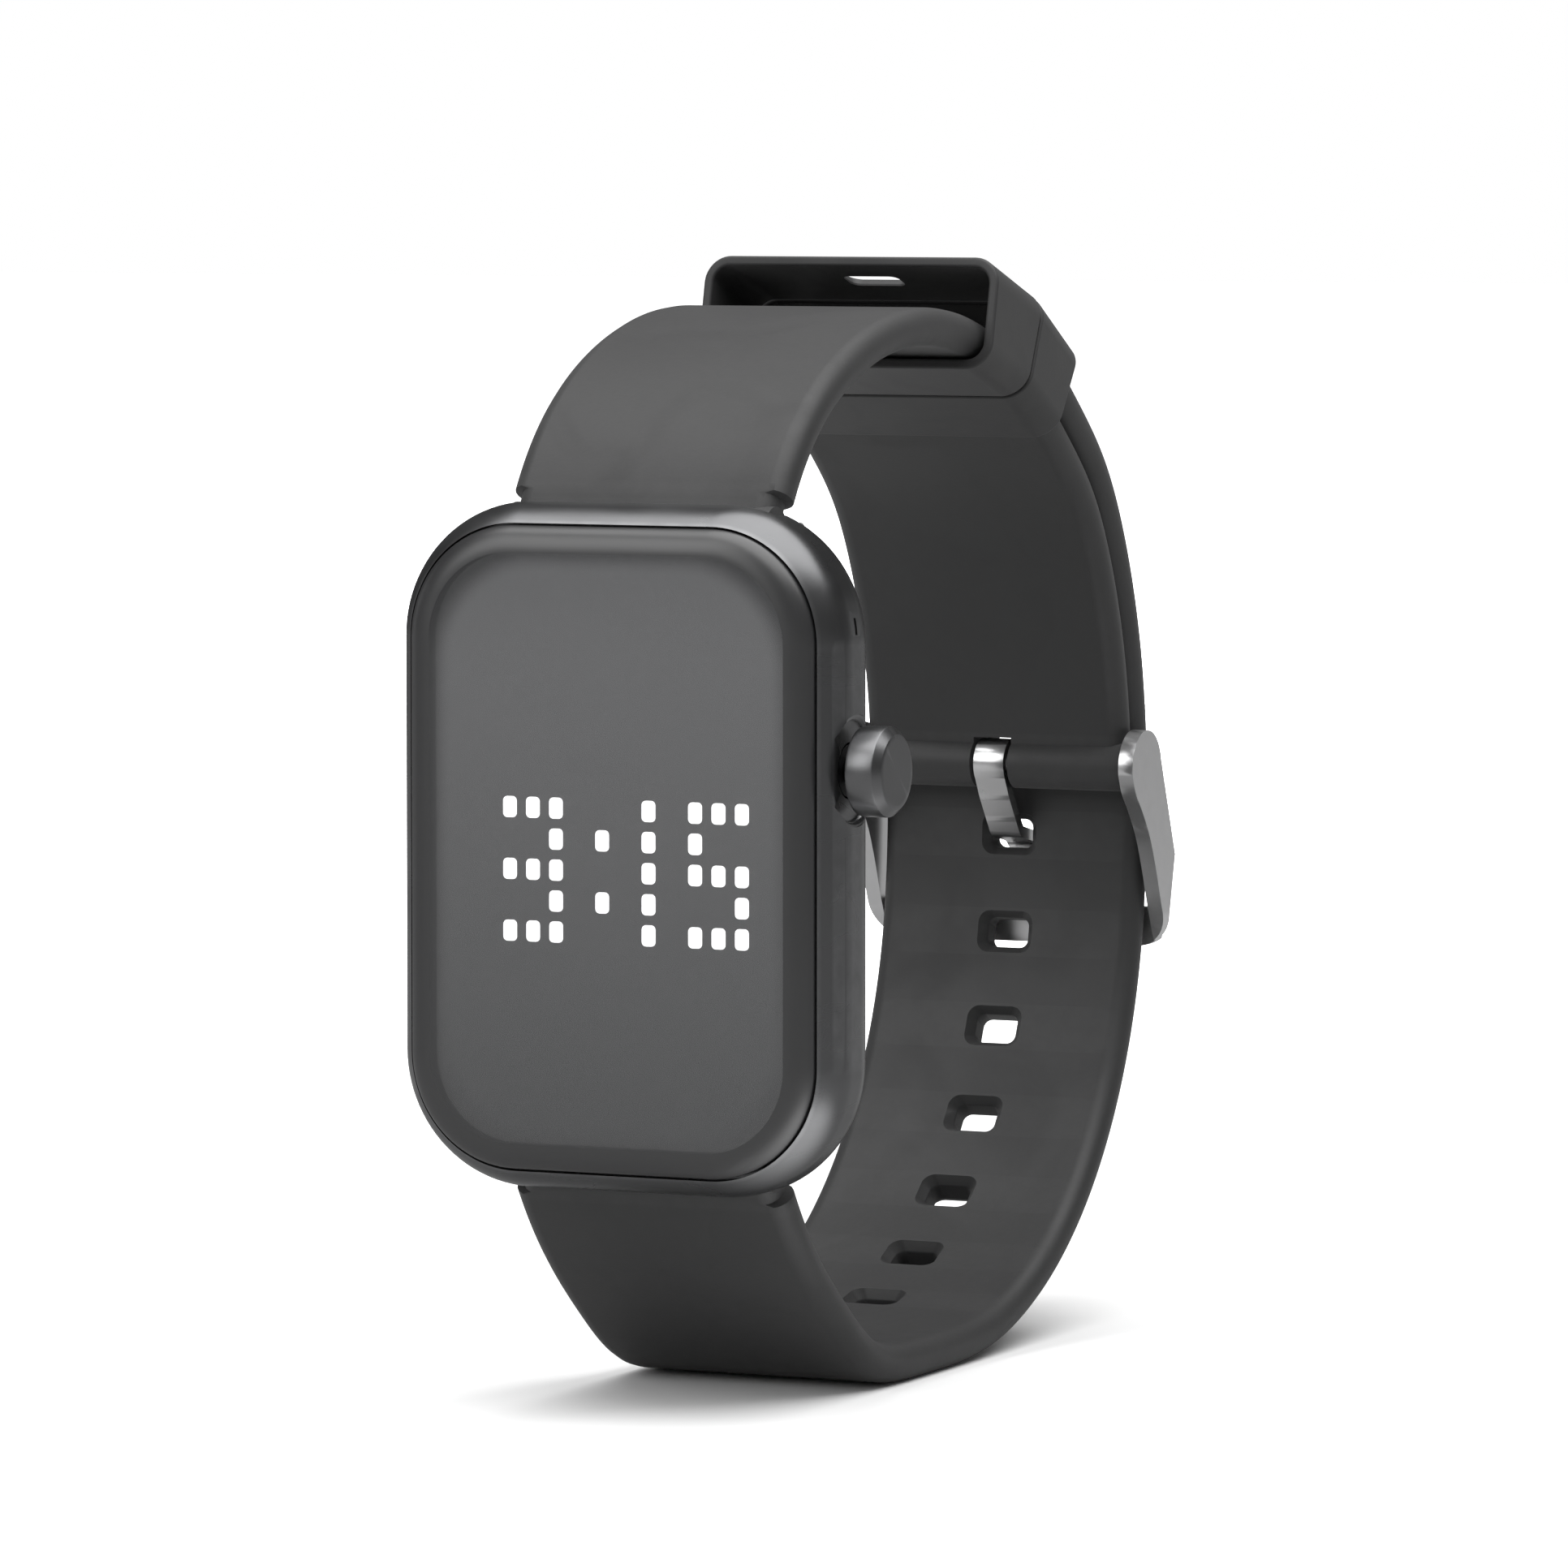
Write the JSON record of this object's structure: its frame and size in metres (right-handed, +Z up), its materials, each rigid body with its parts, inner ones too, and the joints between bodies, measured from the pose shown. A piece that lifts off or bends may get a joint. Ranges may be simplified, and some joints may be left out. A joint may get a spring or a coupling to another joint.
{
  "type": "smartwatch",
  "caption": "Rounded rectangular smartwatch with a side crown, on a buckled silicone strap with two keepers, standing on the closed loop of the strap.",
  "frame": {"origin": "middle of the box that bounds the watch, on the surface the strap stands on", "axes": "+Z is up, the dial looks along -Y, and the crown is on the +X side"},
  "size_m": [0.0348, 0.0694, 0.0755],
  "materials": {
    "case_polymer": "satin",
    "crown_metal": "satin",
    "smoked_glass": "gloss",
    "screen": "gloss",
    "silicone": "matte",
    "steel": "polished",
    "inner_plastic": "matte",
    "seal": "matte",
    "circuit_board": "satin",
    "cell_wrap": "satin",
    "contact_gold": "polished",
    "sensor_glass": "gloss"
  },
  "bodies": {
    "watch": {"case_shell": "case_polymer", "front_glass": "smoked_glass", "glass_gasket": "seal", "display_panel": "screen", "inner_frame": "inner_plastic", "main_board": "circuit_board", "processor_shield": "steel", "battery": "cell_wrap", "vibration_motor": "steel", "microphone": "steel", "crown_switch": "inner_plastic", "sensor_board": "circuit_board", "optical_sensor": "screen", "rear_gasket": "seal", "rear_cover": "inner_plastic", "sensor_window": "sensor_glass", "rear_screw_1": "steel", "rear_screw_2": "steel", "rear_screw_3": "steel", "rear_screw_4": "steel", "charge_contact_left": "contact_gold", "charge_contact_right": "contact_gold", "crown_sleeve": "steel", "upper_spring_bar": "steel", "lower_spring_bar": "steel", "upper_strap": "silicone", "lower_strap": "silicone", "fixed_keeper": "silicone", "buckle_bar": "steel"},
    "crown_slide": {"crown_clip": "steel"},
    "crown": {"crown_cap": "crown_metal", "crown_shaft": "steel", "crown_o_ring": "seal"},
    "free_keeper": {"free_keeper": "silicone"},
    "buckle": {"buckle_frame": "steel"},
    "tongue": {"buckle_tongue": "steel"}
  },
  "joints": [
    {"name": "crown_press", "type": "slide", "parent": "watch", "child": "crown_slide", "axis": [-1, 0, 0], "range_m": [0, 0.00035], "stiffness_N_per_m": 2500, "springref_m": -0.0003},
    {"name": "crown_turn", "type": "hinge", "parent": "crown_slide", "child": "crown", "pos_m": [0.01607, -0.03028, 0.04292], "axis": [1, 0, 0], "continuous": true},
    {"name": "free_keeper_slide", "type": "hinge", "parent": "watch", "child": "free_keeper", "pos_m": [-0.00143, -0.00446, 0.03773], "axis": [1, 0, 0], "range_deg": [0, 36]},
    {"name": "buckle_swing", "type": "hinge", "parent": "watch", "child": "buckle", "pos_m": [-0.00143, 0.02883, 0.03916], "axis": [1, 0, 0], "range_deg": [0, 8]},
    {"name": "tongue_swing", "type": "hinge", "parent": "watch", "child": "tongue", "pos_m": [-0.00143, 0.02883, 0.03916], "axis": [1, 0, 0], "range_deg": [0, 8]}
  ],
  "couplings": [
    {"joint": "tongue_swing", "follows": "buckle_swing", "ratio": 1}
  ]
}
